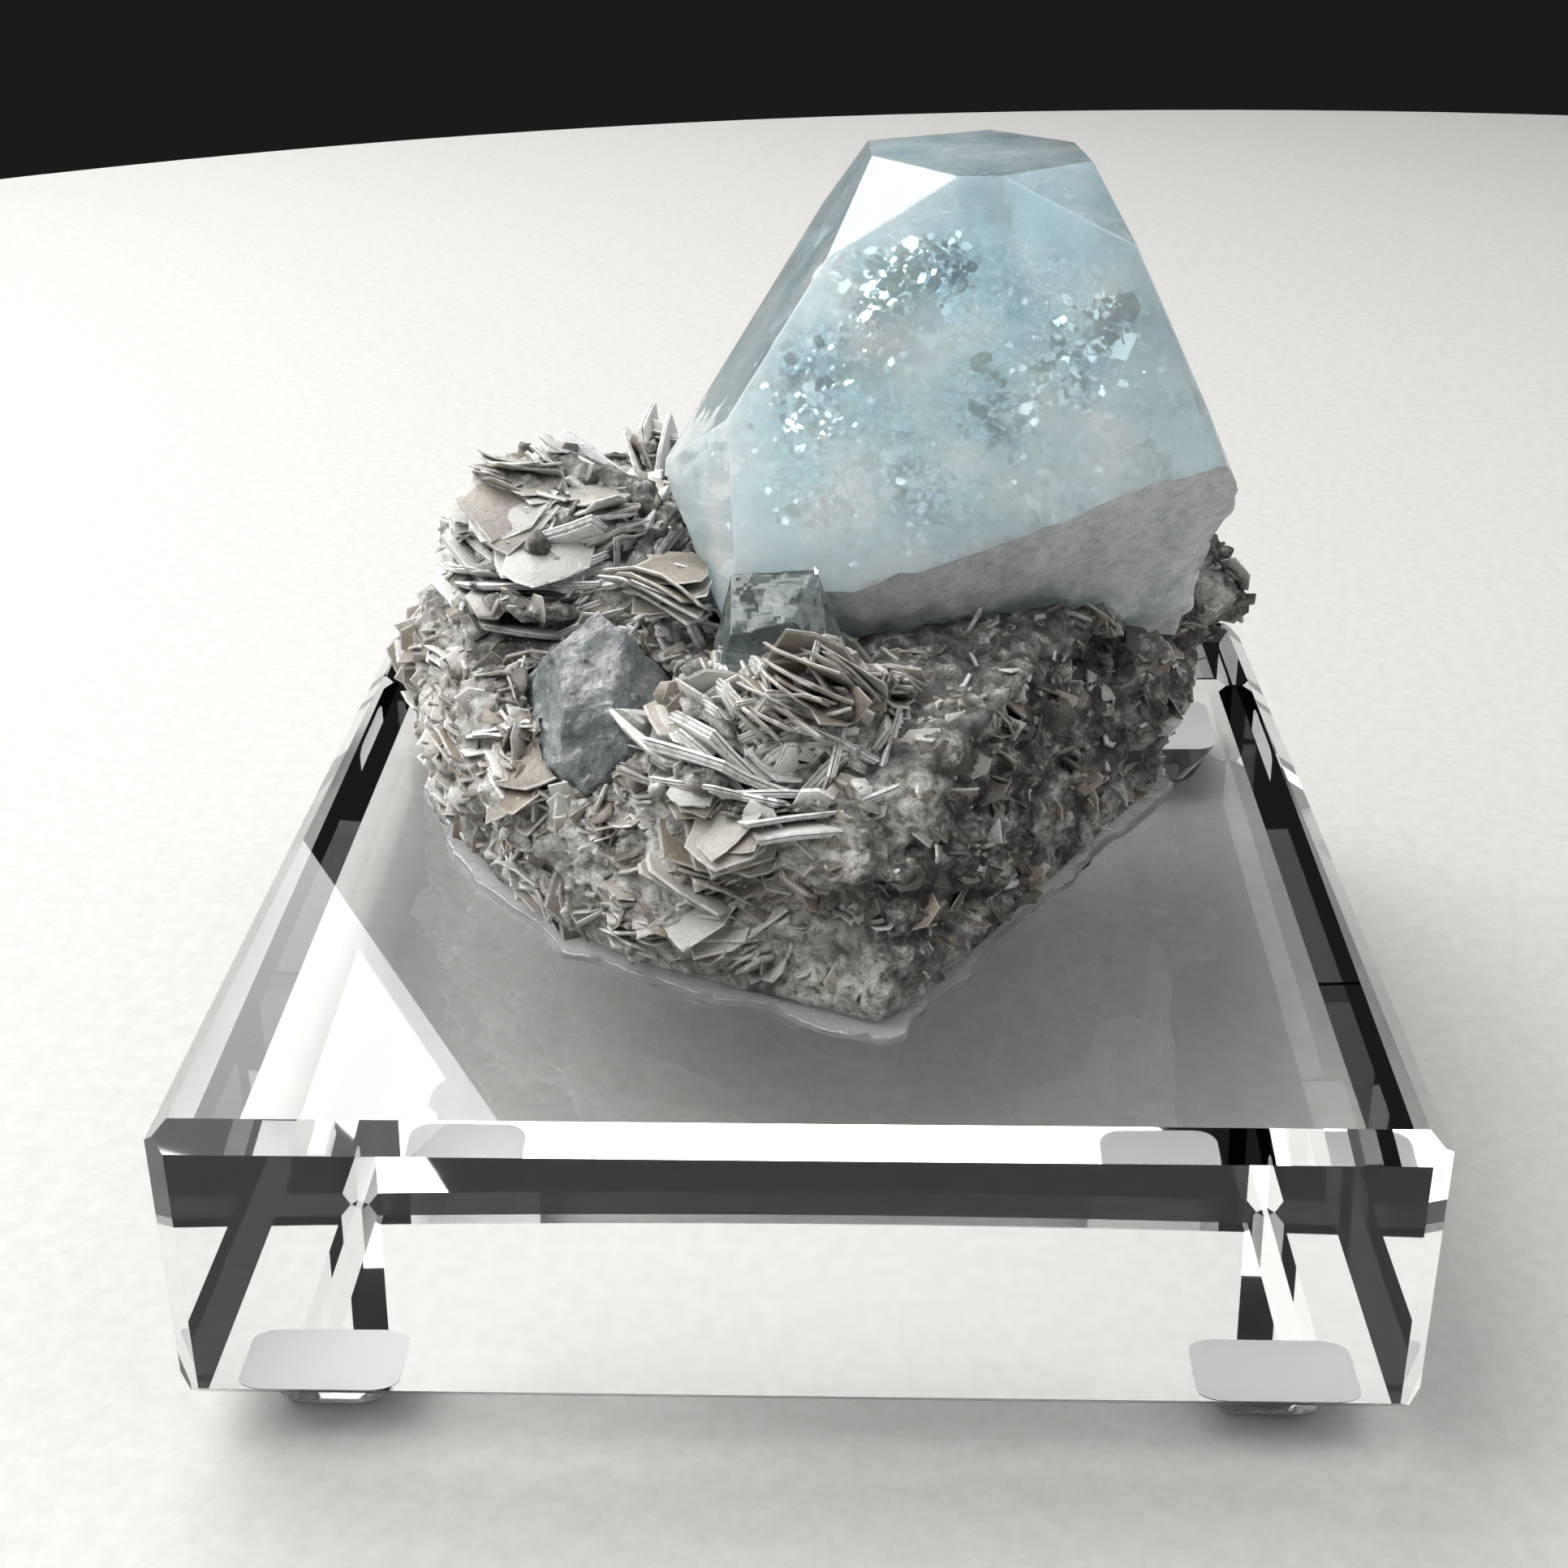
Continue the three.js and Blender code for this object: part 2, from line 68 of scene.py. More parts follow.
def add_node(material, kind, **sockets):
    node = material.node_tree.nodes.new(kind)
    for socket, value in sockets.items():
        node.inputs[socket.replace("_", " ")].default_value = value
    return node


def wire(material, source, target):
    material.node_tree.links.new(source, target)


def shader_socket(material, name):
    return material.node_tree.nodes["Principled BSDF"].inputs[name]


def speckle(material, scale, detail=4.0, rough=0.55, warp=0.0):
    """A noise on the piece's own coordinates, with scale in features per metre."""
    place = add_node(material, "ShaderNodeTexCoord")
    grain = add_node(material, "ShaderNodeTexNoise", Scale=scale, Detail=detail, Roughness=rough,
                     Distortion=warp)
    wire(material, place.outputs["Object"], grain.inputs["Vector"])
    return grain.outputs["Fac"]


def spread(material, source, low, high, start=0.3, end=0.7):
    """The source between start and end, spread over low to high."""
    span = add_node(material, "ShaderNodeMapRange", From_Min=start, From_Max=end, To_Min=low, To_Max=high)
    wire(material, source, span.inputs["Value"])
    return span.outputs["Result"]


def bump(material, height, strength, distance):
    raised = add_node(material, "ShaderNodeBump", Strength=strength, Distance=distance)
    wire(material, height, raised.inputs["Height"])
    return raised.outputs["Normal"]


def show_piece(name, mesh, materials, slot, *nodes):
    piece = bpy.data.objects.new(name, mesh)
    bpy.context.scene.collection.objects.link(piece)
    for material in materials:
        mesh.materials.append(material)
    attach(piece, "root")
    if nodes:
        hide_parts(*nodes)


def finished_mesh(name, shape):
    mesh = bpy.data.meshes.new(name)
    shape.to_mesh(mesh)
    shape.free()
    return mesh


bumper = plain_finish("clear_bumper", Base_Color=(0.96, 0.97, 0.97, 1), Transmission_Weight=1.0, IOR=1.49)
wire(bumper, spread(bumper, speckle(bumper, 900), 0.01, 0.07), shader_socket(bumper, "Roughness"))
frosted = plain_finish("frosted_adhesive", Base_Color=(0.86, 0.87, 0.86, 1), Transmission_Weight=0.1, IOR=1.4)
wire(frosted, spread(frosted, speckle(frosted, 2200), 0.45, 0.8), shader_socket(frosted, "Roughness"))

for foot in FOOT_NODES:
    low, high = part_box(foot)
    high.z += PATCH_BITE
    middle, size = (low + high) / 2, high - low
    shape = bmesh.new()
    bmesh.ops.create_cube(shape, size=1.0)
    bmesh.ops.scale(shape, vec=size, verts=shape.verts)
    bmesh.ops.translate(shape, vec=middle, verts=shape.verts)
    for corner in shape.verts:
        if corner.co.z < middle.z:
            corner.co.xy = middle.xy + (corner.co.xy - middle.xy) * FOOT_TREAD
    uprights = [e for e in shape.edges if abs(e.verts[0].co.z - e.verts[1].co.z) > size.z / 2]
    bmesh.ops.bevel(shape, geom=uprights, offset=FOOT_CORNER, affect="EDGES", segments=6, profile=0.5,
                    material=-1)
    tread = [e for e in shape.edges if max(v.co.z for v in e.verts) < low.z + TOUCH]
    bmesh.ops.bevel(shape, geom=tread, offset=FOOT_ROUND, affect="EDGES", segments=5, profile=0.5,
                    material=-1)
    for face in shape.faces:
        face.smooth = abs(face.normal.z) < LEVEL
        face.material_index = 1 if face.normal.z > LEVEL else 0
    bumper_mesh = finished_mesh(foot + "_bumper", shape)
    show_piece(foot + "_bumper", bumper_mesh, [bumper, frosted], "clear_bumper", foot)

# Base block: a thick slab of clear cast acrylic, sawn square, its edges chamfered and all faces polished.
# It stands on the feet and carries the specimen on its top face, and its front face is bare.
acrylic = plain_finish("clear_acrylic", Base_Color=(0.985, 0.99, 0.99, 1), Transmission_Weight=1.0, IOR=1.49)
wire(acrylic, spread(acrylic, speckle(acrylic, 60), 0.0, 0.02), shader_socket(acrylic, "Roughness"))
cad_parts["base_block"].data.materials.clear()
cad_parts["base_block"].data.materials.append(acrylic)

# Adhesive: clear glue poured thin between the block and the rock, set hard, and squeezed out in a lumpy bead.
# The bead follows the foot of the rock all round and its rounded edge catches the light.
GLUE_ROUND = 0.3 * MM
GLUE_LIFT = 0.03 * MM
GLUE_STEP = 0.8 * MM
GLUE_LUMPS = ((4.0 * MM, 0.7 * MM), (1.5 * MM, 0.3 * MM))
FLAT_WITHIN = math.radians(0.5)
BRIM_TURN = 0.5


def merged_copy(node):
    shape = bmesh.new()
    shape.from_mesh(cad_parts[node].data)
    bmesh.ops.remove_doubles(shape, verts=shape.verts, dist=TOUCH)
    bmesh.ops.dissolve_limit(shape, angle_limit=FLAT_WITHIN, verts=shape.verts, edges=shape.edges)
    return shape


glue = plain_finish("clear_glue", Base_Color=(0.98, 0.99, 0.98, 1), Transmission_Weight=0.8, IOR=1.5)
wire(glue, spread(glue, speckle(glue, 500), 0.02, 0.12), shader_socket(glue, "Roughness"))
wire(glue, bump(glue, speckle(glue, 420), 0.4, 0.0004), shader_socket(glue, "Normal"))
shape = merged_copy("adhesive_pad")
top = max(v.co.z for v in shape.verts)
for v in shape.verts:
    if v.co.z < top - GLUE_ROUND:
        v.co.z += GLUE_LIFT
for edge in [e for e in shape.edges if abs(e.verts[0].co.z - e.verts[1].co.z) < TOUCH]:
    bmesh.ops.bisect_edges(shape, edges=[edge], cuts=int(edge.calc_length() / GLUE_STEP))
middle = sum((v.co for v in shape.verts), Vector()) / len(shape.verts)
for v in shape.verts:
    sideways = Vector((v.co.x - middle.x, v.co.y - middle.y, 0)).normalized()
    spot = Vector((v.co.x, v.co.y, 0))
    v.co += sideways * sum(rise * noise.noise(spot / scale) for scale, rise in GLUE_LUMPS)
brim = [e for e in shape.edges
        if min(v.co.z for v in e.verts) > top - TOUCH and e.calc_face_angle(0) > BRIM_TURN]
bmesh.ops.bevel(shape, geom=brim, offset=GLUE_ROUND, affect="EDGES", segments=3, profile=0.5, material=-1)
for face in shape.faces:
    face.smooth = abs(face.normal.z) < 0.99
show_piece("glue_bead", finished_mesh("glue_bead", shape), [glue], "clear_adhesive", "adhesive_pad")

# Rock: a broken lump of mica schist, dark and grainy on its broken right side, silvery and layered elsewhere,
# but coloured darker where it faces up and in a patchy band along its foot.
# It grew round the crystals as one mass, so it is one piece, and it sits in the glue.
ROCK_GRAIN = 0.5 * MM
ROCK_RELIEF = ((9.0 * MM, 1.0 * MM, 1.5 * MM), (4.5 * MM, 0.7 * MM, 1.3 * MM),
               (2.2 * MM, 0.6 * MM, 1.0 * MM), (1.0 * MM, 0.4 * MM, 0.5 * MM))
ROCK_LAYERS = np.array((1.0, 1.0, 1.9))
ROCK_PATCH = 9 * MM
ROCK_FOOT = 0.6 * MM
DARK_SIDE = Vector((0.86, -0.5, 0.0))
DARK_TURN, DARK_START, DARK_PATCHES = 1.3, 0.4, 1.9
LOW_BAND = 7 * MM
CRYSTAL_GAP = 0.25 * MM


def crystal_planes(node):
    shape = merged_copy(node)
    planes = [(f.normal.copy(), f.normal.dot(f.calc_center_median())) for f in shape.faces]
    shape.free()
    return np.array([[*n, reach] for n, reach in planes])


CRYSTAL_NODES = ("aquamarine_crystal", "beryl_crystal_front", "beryl_crystal_small")
crystals = [crystal_planes(node) for node in CRYSTAL_NODES]


def depth_in(planes, points):
    """How far each point is outside the crystal, with the face that is nearest."""
    away = points @ planes[:, :3].T - planes[:, 3]
    return away.max(1), away.argmax(1)


def clear_of_crystals(points):
    """Pushes points out of the crystals, so that rock and mica only touch them."""
    for planes in crystals:
        for _ in range(2):
            away, face = depth_in(planes, points)
            sunk = away < CRYSTAL_GAP
            points[sunk] += planes[face[sunk], :3] * (CRYSTAL_GAP - away[sunk])[:, None]
    return points


def triples(rows, what):
    """A three-number property of a mesh's vertices or faces, one row for each."""
    values = np.empty(len(rows) * 3)
    rows.foreach_get(what, values)
    return values.reshape(-1, 3)


rough = finished_mesh("rock_rough", merged_copy("mica_matrix"))
lump = bpy.data.objects.new("rock_rough", rough)
bpy.context.scene.collection.objects.link(lump)
remesh = lump.modifiers.new("grain", "REMESH")
remesh.mode, remesh.voxel_size = "VOXEL", ROCK_GRAIN * 1
rock_mesh = bpy.data.meshes.new_from_object(lump.evaluated_get(bpy.context.evaluated_depsgraph_get()))
bpy.data.objects.remove(lump)

points, normals = triples(rock_mesh.vertices, "co"), triples(rock_mesh.vertices, "normal")
foot_level = points[:, 2].min()
patches = np.array([noise.fractal(Vector(p) / ROCK_PATCH, 1.0, 2.0, 3) for p in points])
turned = normals @ np.array(DARK_SIDE) - DARK_START
dark = np.clip(0.5 + DARK_TURN * turned + DARK_PATCHES * patches, 0, 1)
relief = np.zeros(len(points))
for scale, light_rise, dark_rise in ROCK_RELIEF:
    height = np.array([noise.noise(Vector(p) / scale) for p in points * ROCK_LAYERS])
    relief += height * (light_rise + (dark_rise - light_rise) * dark)
dark = np.maximum(dark, np.clip(2.5 * normals[:, 2] - 1.2, 0, 0.9))
low_band = np.clip(1.0 - (points[:, 2] - foot_level) / LOW_BAND, 0, 1)
dark = np.maximum(dark, low_band * np.clip(0.6 + 2.5 * patches, 0, 0.9))
relief[points[:, 2] < foot_level + ROCK_FOOT] = 0.0
points += normals * relief[:, None]
points = clear_of_crystals(points)
points[:, 2] = np.maximum(points[:, 2], foot_level)
rock_mesh.vertices.foreach_set("co", points.ravel())
rock_mesh.attributes.new("dark", "FLOAT", "POINT").data.foreach_set("value", dark)
rock_mesh.polygons.foreach_set("use_smooth", np.ones(len(rock_mesh.polygons), bool))
rock_mesh.update()


def colour_ramp(material, source, *stops):
    ramp = add_node(material, "ShaderNodeValToRGB")
    ends = ramp.color_ramp.elements
    while len(ends) < len(stops):
        ends.new(0.5)
    for end, (position, colour) in zip(ends, stops):
        end.position, end.color = position, (*colour, 1)
    wire(material, source, ramp.inputs["Fac"])
    return ramp.outputs["Color"]


def blend_colours(material, share, first, second):
    mix = add_node(material, "ShaderNodeMix")
    mix.data_type = "RGBA"
    wire(material, share, mix.inputs[0])
    for index, colour in ((6, first), (7, second)):
        if isinstance(colour, tuple):
            mix.inputs[index].default_value = (*colour, 1)
        else:
            wire(material, colour, mix.inputs[index])
    return mix.outputs[2]


def attribute(material, name):
    source = add_node(material, "ShaderNodeAttribute")
    source.attribute_name = name
    return source.outputs["Fac"]


schist = plain_finish("mica_schist")
grains = speckle(schist, 1100, 6, 0.7)
dark_rock = colour_ramp(schist, speckle(schist, 400, 8, 0.75), (0.38, (0.012, 0.011, 0.01)),
                        (0.47, (0.06, 0.055, 0.05)), (0.56, (0.2, 0.19, 0.175)), (0.65, (0.7, 0.69, 0.66)))
light_rock = colour_ramp(schist, speckle(schist, 800, 8, 0.75, 0.5), (0.36, (0.08, 0.073, 0.064)),
                         (0.45, (0.31, 0.295, 0.265)), (0.54, (0.55, 0.535, 0.505)),
                         (0.66, (0.82, 0.815, 0.79)))
rock_colour = blend_colours(schist, attribute(schist, "dark"), light_rock, dark_rock)
wire(schist, rock_colour, shader_socket(schist, "Base Color"))
wire(schist, spread(schist, grains, 0.75, 0.3), shader_socket(schist, "Roughness"))
wire(schist, bump(schist, grains, 0.7, 0.0006), shader_socket(schist, "Normal"))
show_piece("mica_schist_rock", rock_mesh, [schist], "mica_rock", "mica_matrix")

# Mica: silvery muscovite in books of thin cleavage sheets, crowded into rosettes on top of the rock.
# The books grew with the rock, so they stand in it on edge, and their rims show the edges of the sheets,
# painted pale: partly the sheets' own pale edges, partly a painted highlight.
BLADE_LEDGES = ((0.3, 1.02), (0.06, 0.95), (0.06, 1.05), (0.3, 0.98), (0.06, 0.96), (0.22, 1.0))
# Each rosette: its centre and radius in mm, the plates in each ring, a plate's radius, a seed, and its tones.
# The first two rosettes' colours hold painted light and shade: the first, by the window, is painted lighter,
# the second, in the crystal's shadow, darker.
ROSETTES = (
    ((-20.5, 7, 54.5), 12, (2, 5, 8, 10), 7.2, 3, (0.9, 1.0)),
    ((-1, -23, 49.5), 10.5, (2, 4, 7, 9), 6.6, 8, (0.5, 0.85)),
    ((-8, -7, 52.5), 6, (1, 4), 4.8, 14, (0.75, 1.0)),
    ((-14, 25, 55), 8, (1, 5), 5, 21, (0.6, 0.95)),
    ((11, 33, 56), 7, (1, 4), 4.6, 34, (0.5, 0.9)))
ROSETTE_INSIDE, ROSETTE_SPREAD = 0.12, 0.5
ROSETTE_CROWN, ROSETTE_DOME = 1, 4.0
ROSETTE_STAGGER, ROSETTE_TURN = 0.6, 1.1
LEAN_INSIDE, LEAN_OUTWARD, LEAN_CHANCE = 6, 54, 34
PLATE_SMALLEST, PLATE_CHANCE = 0.85, 0.3
PLATE_OUTLINE_DRAWS = 6
BLADE_REACH = 1.1
BLADES_EACH = (3, 4)
BLADE_STEP = (0.9, 1.4)


def rock_random(seed):
    state = float(seed * 7919 + 17)
    while True:
        state = math.fmod(state * 1103515245 + 12345, 2147483648)
        yield state / 2147483648


def book_shape(seed, sides, cuts, ledges, insets):
    """One book of sheets, of radius and thickness 1: a ragged outline, its rim stepping in and out."""
    chance = random.Random(seed)
    turns = [2 * math.pi * (k + chance.uniform(-0.25, 0.25)) / sides for k in range(sides)]
    corners = [Vector((math.cos(t), math.sin(t), 0)) * chance.uniform(0.62, 1.12) for t in turns]
    shape = bmesh.new()
    outline = []
    for k in range(sides):
        for cut in range(cuts):
            share = cut / cuts
            bow = 1 + 0.12 * share * (1 - share) + (chance.uniform(-0.05, 0.04) if cut else 0)
            rim_point = corners[k].lerp(corners[(k + 1) % sides], share) * bow
            outline.append(shape.verts.new(rim_point - Vector((0, 0, 0.5))))
    cap = [shape.faces.new(outline)]
    for rise, reach in ledges:
        grown = bmesh.ops.extrude_face_region(shape, geom=cap)["geom"]
        cap = [g for g in grown if isinstance(g, bmesh.types.BMFace)]
        ring = [g for g in grown if isinstance(g, bmesh.types.BMVert)]
        bmesh.ops.translate(shape, vec=(0, 0, rise), verts=ring)
        bmesh.ops.scale(shape, vec=(reach, reach, 1), verts=ring)
    bmesh.ops.recalc_face_normals(shape, faces=shape.faces)
    for _ in range(insets):
        caps = [f for f in shape.faces if len(f.verts) == sides * cuts]
        bmesh.ops.inset_individual(shape, faces=caps, thickness=0.3)
    bmesh.ops.triangulate(shape, faces=shape.faces)
    shape.verts.index_update()
    verts = np.array([v.co for v in shape.verts])
    faces = np.array([[v.index for v in f.verts] for f in shape.faces])
    rim = np.array([abs(f.normal.z) < 0.5 for f in shape.faces])
    shape.free()
    return verts, faces, rim


blades = [book_shape(seed, 5 + seed % 2, 3, BLADE_LEDGES, 2) for seed in range(12)]


def place_book(chance, shapes, centre, facing, radius, thickness, curl, tone_and_light):
    """A book in its place: curled to a shallow trough, twisted, and turned to face along facing."""
    verts, faces, rim = shapes[chance.randrange(len(shapes))]
    turn = chance.uniform(0, 2 * math.pi)
    cosine, sine = math.cos(turn), math.sin(turn)
    flat = verts @ np.array([[cosine, -sine, 0], [sine, cosine, 0], [0, 0, 1]])
    flat *= np.array([radius, radius * chance.uniform(0.85, 1.05), thickness])
    twist = chance.uniform(-0.1, 0.1)
    flat[:, 2] += curl * flat[:, 0] ** 2 / radius + twist * flat[:, 0] * flat[:, 1] / radius
    flat[:, 2] += 0.03 * radius * np.sin(flat[:, 1] * 4 / radius + turn)
    facing = Vector(facing).normalized()
    across = facing.cross(Vector((0.1, 0.2, 1.0))).normalized()
    basis = np.array([across, facing.cross(across), facing])
    return flat @ basis + np.array(centre), faces, rim, tone_and_light


def book_stack(chance, shapes, centre, facing, radius, count, step, slip, curl, tone_and_light):
    """Parallel books, one beside the other along facing, that fan out a little and slip out of line."""
    stack = []
    fan = Vector((chance.gauss(0, 0.06), chance.gauss(0, 0.06), chance.gauss(0, 0.06)))
    for i in range(count):
        along = i - (count - 1) / 2
        aside = Vector((chance.gauss(0, slip), chance.gauss(0, slip), chance.gauss(-slip / 2, slip)))
        at = Vector(centre) + Vector(facing).normalized() * along * step + aside * radius
        reach = radius * chance.uniform(0.82, 1.04)
        thickness = step * chance.uniform(0.42, 0.7)
        shade = min(1, max(0, tone_and_light + chance.gauss(0, 0.1)))
        turned = Vector(facing) + fan * along
        stack.append(place_book(chance, shapes, at, turned, reach, thickness, curl, shade))
    return stack


def join_places(name, places, material, slot):
    """All the placed books or flakes of a group as one mesh, with a shade of colour on each face, which on
    the rosettes is partly painted light and shade, and a rim mark on each face.
    """
    starts = np.cumsum([0] + [len(p[0]) for p in places])
    points = clear_of_crystals(np.concatenate([p[0] for p in places]))
    points[:, 2] = np.maximum(points[:, 2], foot_level)
    faces = np.concatenate([p[1] + start for p, start in zip(places, starts)])
    mesh = bpy.data.meshes.new(name)
    mesh.from_pydata(points.tolist(), [], faces.tolist())
    tones_and_light = np.concatenate([np.full(len(p[1]), p[3]) for p in places])
    rims = np.concatenate([p[2] for p in places]).astype(float)
    mesh.attributes.new("tone_and_light", "FLOAT", "FACE").data.foreach_set("value", tones_and_light)
    mesh.attributes.new("rim", "FLOAT", "FACE").data.foreach_set("value", rims)
    mesh.polygons.foreach_set("use_smooth", rims < 0.5)
    mesh.update()
    show_piece(name, mesh, [material], slot)


mica = plain_finish("silver_mica", IOR=1.58, Coat_Weight=0.2, Coat_Roughness=0.25, Subsurface_Weight=0.3,
                    Subsurface_Radius=(1.0, 1.0, 0.95), Subsurface_Scale=0.3 * MM)
streaks = speckle(mica, 650, 5, 0.6, 1.2)
# Face colour follows each book's shade of colour, which on the first two rosettes is partly painted light and
# shade.
face_colour = colour_ramp(mica, attribute(mica, "tone_and_light"), (0.0, (0.07, 0.06, 0.05)),
                          (0.25, (0.26, 0.22, 0.165)), (0.45, (0.46, 0.44, 0.40)),
                          (0.75, (0.70, 0.69, 0.665)), (1.0, (0.93, 0.93, 0.91)))
# Rim colour: near white, partly a painted highlight, and stronger on the books painted lighter.
rim_highlight_colour = colour_ramp(mica, streaks, (0.36, (0.5, 0.48, 0.44)), (0.48, (0.82, 0.81, 0.785)),
                         (0.6, (0.97, 0.97, 0.955)))
tint = blend_colours(mica, spread(mica, streaks, 0.0, 0.18), face_colour, (0.2, 0.18, 0.15))
rim_highlight_share = add_node(mica, "ShaderNodeMath")
rim_highlight_share.operation = "MULTIPLY"
wire(mica, attribute(mica, "rim"), rim_highlight_share.inputs[0])
wire(mica, spread(mica, attribute(mica, "tone_and_light"), 0.1, 0.85, 0.05, 0.6), rim_highlight_share.inputs[1])
wire(mica, blend_colours(mica, rim_highlight_share.outputs[0], tint, rim_highlight_colour), shader_socket(mica, "Base Color"))
wire(mica, spread(mica, streaks, 0.55, 0.25), shader_socket(mica, "Roughness"))
wrinkles = speckle(mica, 1500, 5, 0.65, 0.6)
wire(mica, bump(mica, wrinkles, 0.6, 0.4 * MM), shader_socket(mica, "Normal"))

for number, (centre, radius, rings, plate, seed, tones_and_light) in enumerate(ROSETTES):
    drawn = rock_random(seed)
    chance = random.Random(seed)
    places = []
    for ring, count in enumerate(rings):
        outness = ring / max(len(rings) - 1, 1)
        for i in range(count):
            angle = 2 * math.pi * (i + ROSETTE_STAGGER * next(drawn) + 0.5 * ring) / count
            away = radius * (ROSETTE_INSIDE + ROSETTE_SPREAD * outness)
            tilt = LEAN_INSIDE + LEAN_OUTWARD * outness + LEAN_CHANCE * (next(drawn) - 0.5)
            lean = -math.radians(tilt)
            facing = angle + ROSETTE_TURN * (next(drawn) - 0.5)
            size = plate * (PLATE_SMALLEST + PLATE_CHANCE * next(drawn))
            for _ in range(PLATE_OUTLINE_DRAWS):
                next(drawn)
            at = Vector((centre[0] + away * math.cos(angle), centre[1] + away * math.sin(angle),
                         centre[2] + ROSETTE_CROWN - ROSETTE_DOME * outness ** 2))
            normal = Vector((math.cos(facing) * math.cos(lean), math.sin(facing) * math.cos(lean),
                             math.sin(lean)))
            blades_here = chance.randint(*BLADES_EACH)
            step = chance.uniform(*BLADE_STEP) * MM
            curl = chance.uniform(-0.05, 0.14)
            places += book_stack(chance, blades, at * MM, normal, BLADE_REACH * size * MM, blades_here, step,
                                 0.05, curl, chance.uniform(*tones_and_light))
    join_places(f"mica_rosette_{number + 1}", places, mica, "mica_rock")

# Side mica: the same mineral in smaller curled books and loose flakes that cover the sides of the rock.
# They lie in overlapping layers along the broken surface, tan where they are stained and silvery where fresh.
LAYER_SEED = 11
LAYER_SWING = 11 * MM
STAIN_SCALE, STAIN_DEPTH = 3.5 * MM, 0.45
MICA_FOOT = 1.5 * MM
BERYL_RIM = 2 * MM
LIGHT_SIDE = 15 * MM
SIDE_BOOKS = 330
BOOK_SIZE = (2.0, 5.4)
BOOK_SHEETS = (4, 8)
BOOK_STEP = (0.35, 0.6)
BOOK_SINK = 0.72
BOOK_TONE, BOOK_TONE_SPREAD, BOOK_DARKEST = 0.5, 0.14, 0.2

areas = np.empty(len(rock_mesh.polygons))
rock_mesh.polygons.foreach_get("area", areas)
centres, outward = triples(rock_mesh.polygons, "center"), triples(rock_mesh.polygons, "normal")
corners = np.empty(len(rock_mesh.loops), int)
rock_mesh.loops.foreach_get("vertex_index", corners)
darkness = dark[corners.reshape(-1, 4)].mean(1)
order = np.lexsort(np.round(centres, 6).T)
areas, darkness, centres, outward = areas[order], darkness[order], centres[order], outward[order]
open_side = (outward[:, 2] > -0.5) & (centres[:, 2] > foot_level + MICA_FOOT)


def scatter(seed, count, weight):
    """Places on the rock's surface, picked by area and by the given weight."""
    share = areas * weight
    return np.random.default_rng(seed).choice(len(share), count, p=share / share.sum())


sheets = [book_shape(seed, 6, 2, ((0.5, 1.05), (0.5, 0.95)), 0) for seed in range(30, 42)]
flakes = [book_shape(seed, 6, 1, ((0.5, 1.05), (0.5, 0.95)), 0) for seed in range(50, 62)]
near_front = depth_in(crystals[1], centres)[0] < BERYL_RIM
light_side = centres @ np.array(DARK_SIDE) < LIGHT_SIDE
noise.seed_set(LAYER_SEED)


def layering(at, wander):
    """The way the layers lie at a place: level, swung about by a slow noise, so that neighbours lie alike."""
    return Vector((0, 0, 1)) + wander * noise.noise_vector(Vector(at) / LAYER_SWING)


chance = random.Random(51)
places = []
upright_side = outward[:, 2] < 0.75
for spot in scatter(51, SIDE_BOOKS, open_side * light_side * upright_side * (1 - darkness) ** 1.5 + 1e-9):
    normal = Vector(outward[spot])
    level = layering(centres[spot], 1.6)
    edge_on = level - normal * level.dot(normal) * 0.95
    size = chance.uniform(*BOOK_SIZE)
    at = Vector(centres[spot]) - normal * BOOK_SINK * size * MM
    sheet_count = chance.randint(*BOOK_SHEETS)
    step = chance.uniform(*BOOK_STEP) * MM
    curl = chance.uniform(-0.3, 0.3)
    tone_and_light = min(1, max(BOOK_DARKEST, chance.gauss(BOOK_TONE, BOOK_TONE_SPREAD)))
    places += book_stack(chance, sheets, at, edge_on, size * MM, sheet_count, step, 0.07, curl, tone_and_light)
join_places("side_mica_books", places, mica, "mica_rock")


def loose_flakes(name, seed, count, weight, sizes, sink, wander, tone_and_light, tone_spread):
    """Flakes strewn over the rock: half sunk, each tilted off the layering of its place."""
    chance = random.Random(seed)
    places = []
    for spot in scatter(seed, count, open_side * weight + 1e-9):
        normal = Vector(outward[spot])
        sway = Vector([chance.gauss(0, wander) for _ in range(3)])
        tilt = normal * 0.8 + layering(centres[spot], 1.2) * 0.7 + sway
        size = sizes[0] + (sizes[1] - sizes[0]) * chance.random() ** 2
        stain = STAIN_DEPTH * noise.noise(Vector(centres[spot]) / STAIN_SCALE)
        at = Vector(centres[spot]) - normal * sink * size * MM
        thickness = chance.uniform(0.12, 0.4) * MM
        curl = chance.uniform(-0.35, 0.35)
        shade = min(1, max(0, chance.gauss(tone_and_light + stain, tone_spread)))
        places.append(place_book(chance, flakes, at, tilt, size * MM, thickness, curl, shade))
    join_places(name, places, mica, "mica_rock")


loose_flakes("side_mica_flakes", 61, 2300, (1 - darkness) ** 2 + 3 * near_front, (0.5, 2.2), 0.35, 0.5,
             0.38, 0.18)
loose_flakes("dark_mica_flakes", 77, 3000, 0.1 + darkness, (0.3, 2.0), 0.3, 0.7, 0.14, 0.24)

# Small beryls: two stubby grey beryl crystals, one etched and pitted at the front, one a clear wedge behind.
# They grew in the rock beside the large crystal and are broken on top.
ETCH_STEP = 0.55 * MM
ETCH_DEPTH = 0.22 * MM
ETCH_PIT = 2.2 * MM
PITTED_RISE = 0.55


